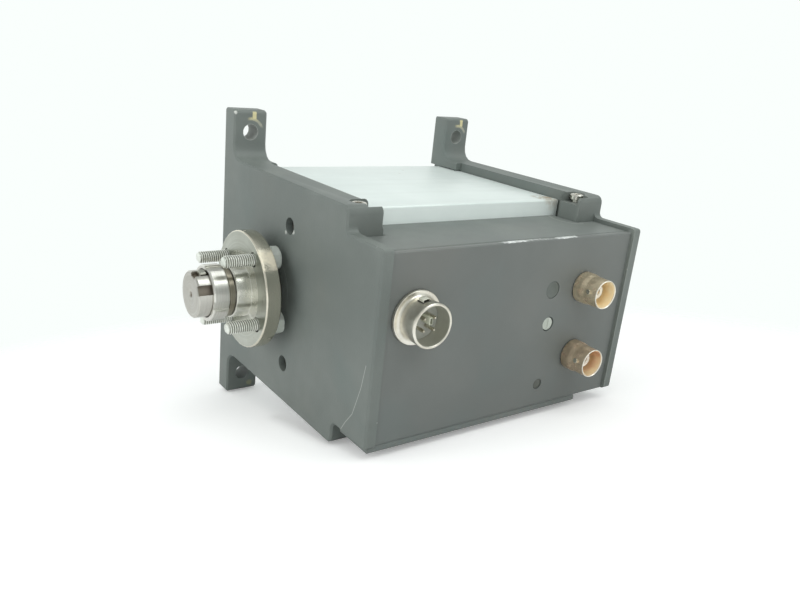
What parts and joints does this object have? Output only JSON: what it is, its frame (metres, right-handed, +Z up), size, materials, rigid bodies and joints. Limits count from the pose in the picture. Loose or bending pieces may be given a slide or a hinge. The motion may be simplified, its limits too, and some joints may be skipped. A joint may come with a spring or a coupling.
{
  "type": "rotary torque sensor",
  "caption": "Non-contact rotary torque sensor: a flanged shaft turns in two cast brackets with mounting ears, with an aluminium stator and a front housing that carries its electrical connectors",
  "frame": {"origin": "centre of the bounding box; the shaft's axis is at z = 0 and y = 0.01495, midway between the brackets at x = 0", "axes": "+X along the shaft, +Y towards the wall or frame that the ears bolt to, so the connector panel faces -Y, +Z up"},
  "size_m": [0.1558, 0.1086, 0.104],
  "materials": {
    "grey_paint": "satin grey paint",
    "panel_paint": "satin dark grey paint",
    "clear_anodised": "satin clear anodised",
    "turned_steel": "turned",
    "bright_steel": "bright",
    "zinc_plate": "zinc plated",
    "bearing_steel": "ground",
    "coil_resin": "cast resin",
    "nickel_plate": "nickel plated",
    "gold_plate": "gold plated",
    "dark_plastic": "matte",
    "white_plastic": "matte",
    "board_green": "lacquered board",
    "lamp_lens": "clear lens"
  },
  "bodies": {
    "stator": {"left_bracket": "grey_paint", "right_bracket": "grey_paint", "stator_body": "clear_anodised", "front_housing": "grey_paint", "front_panel": "panel_paint", "bottom_cover": "grey_paint", "circuit_board": "board_green", "board_spacer_1": "bright_steel", "board_spacer_2": "bright_steel", "board_spacer_3": "bright_steel", "board_spacer_4": "bright_steel", "left_bearing_outer": "bearing_steel", "right_bearing_outer": "bearing_steel", "stator_coil_ring": "coil_resin", "left_upper_side_screw": "zinc_plate", "left_lower_side_screw": "zinc_plate", "right_upper_side_screw": "zinc_plate", "right_lower_side_screw": "zinc_plate", "left_upper_lug_screw": "zinc_plate", "left_lower_lug_screw": "zinc_plate", "right_upper_lug_screw": "zinc_plate", "right_lower_lug_screw": "zinc_plate", "power_connector_shell": "nickel_plate", "power_connector_insert": "dark_plastic", "power_pin_1": "gold_plate", "power_pin_2": "gold_plate", "power_pin_3": "gold_plate", "power_pin_4": "gold_plate", "upper_jack_body": "gold_plate", "upper_jack_insulator": "white_plastic", "upper_jack_contact": "gold_plate", "upper_jack_nut": "nickel_plate", "lower_jack_body": "gold_plate", "lower_jack_insulator": "white_plastic", "lower_jack_contact": "gold_plate", "lower_jack_nut": "nickel_plate", "hole_plug": "dark_plastic", "power_lamp": "lamp_lens"},
    "rotor": {"rotor_shaft": "turned_steel", "left_key": "turned_steel", "right_key": "turned_steel", "left_flange": "turned_steel", "right_flange": "turned_steel", "left_flange_bolt_1": "zinc_plate", "left_flange_bolt_2": "zinc_plate", "left_flange_bolt_3": "zinc_plate", "left_flange_bolt_4": "zinc_plate", "right_flange_bolt_1": "zinc_plate", "right_flange_bolt_2": "zinc_plate", "right_flange_bolt_3": "zinc_plate", "right_flange_bolt_4": "zinc_plate", "left_lock_washer": "turned_steel", "right_lock_washer": "turned_steel", "left_lock_nut": "bright_steel", "right_lock_nut": "bright_steel", "left_bearing_inner": "bearing_steel", "right_bearing_inner": "bearing_steel", "rotor_coil_ring": "coil_resin"},
    "zero_adjuster": {"zero_trimmer": "white_plastic"}
  },
  "joints": [
    {"name": "rotor_spin", "type": "hinge", "parent": "stator", "child": "rotor", "pos_m": [0, 0.01495, 0], "axis": [1, 0, 0], "continuous": true},
    {"name": "zero_trim", "type": "hinge", "parent": "stator", "child": "zero_adjuster", "pos_m": [0.015, -0.04495, -0.0004], "axis": [0, -1, 0], "range_deg": [-135, 135]}
  ]
}
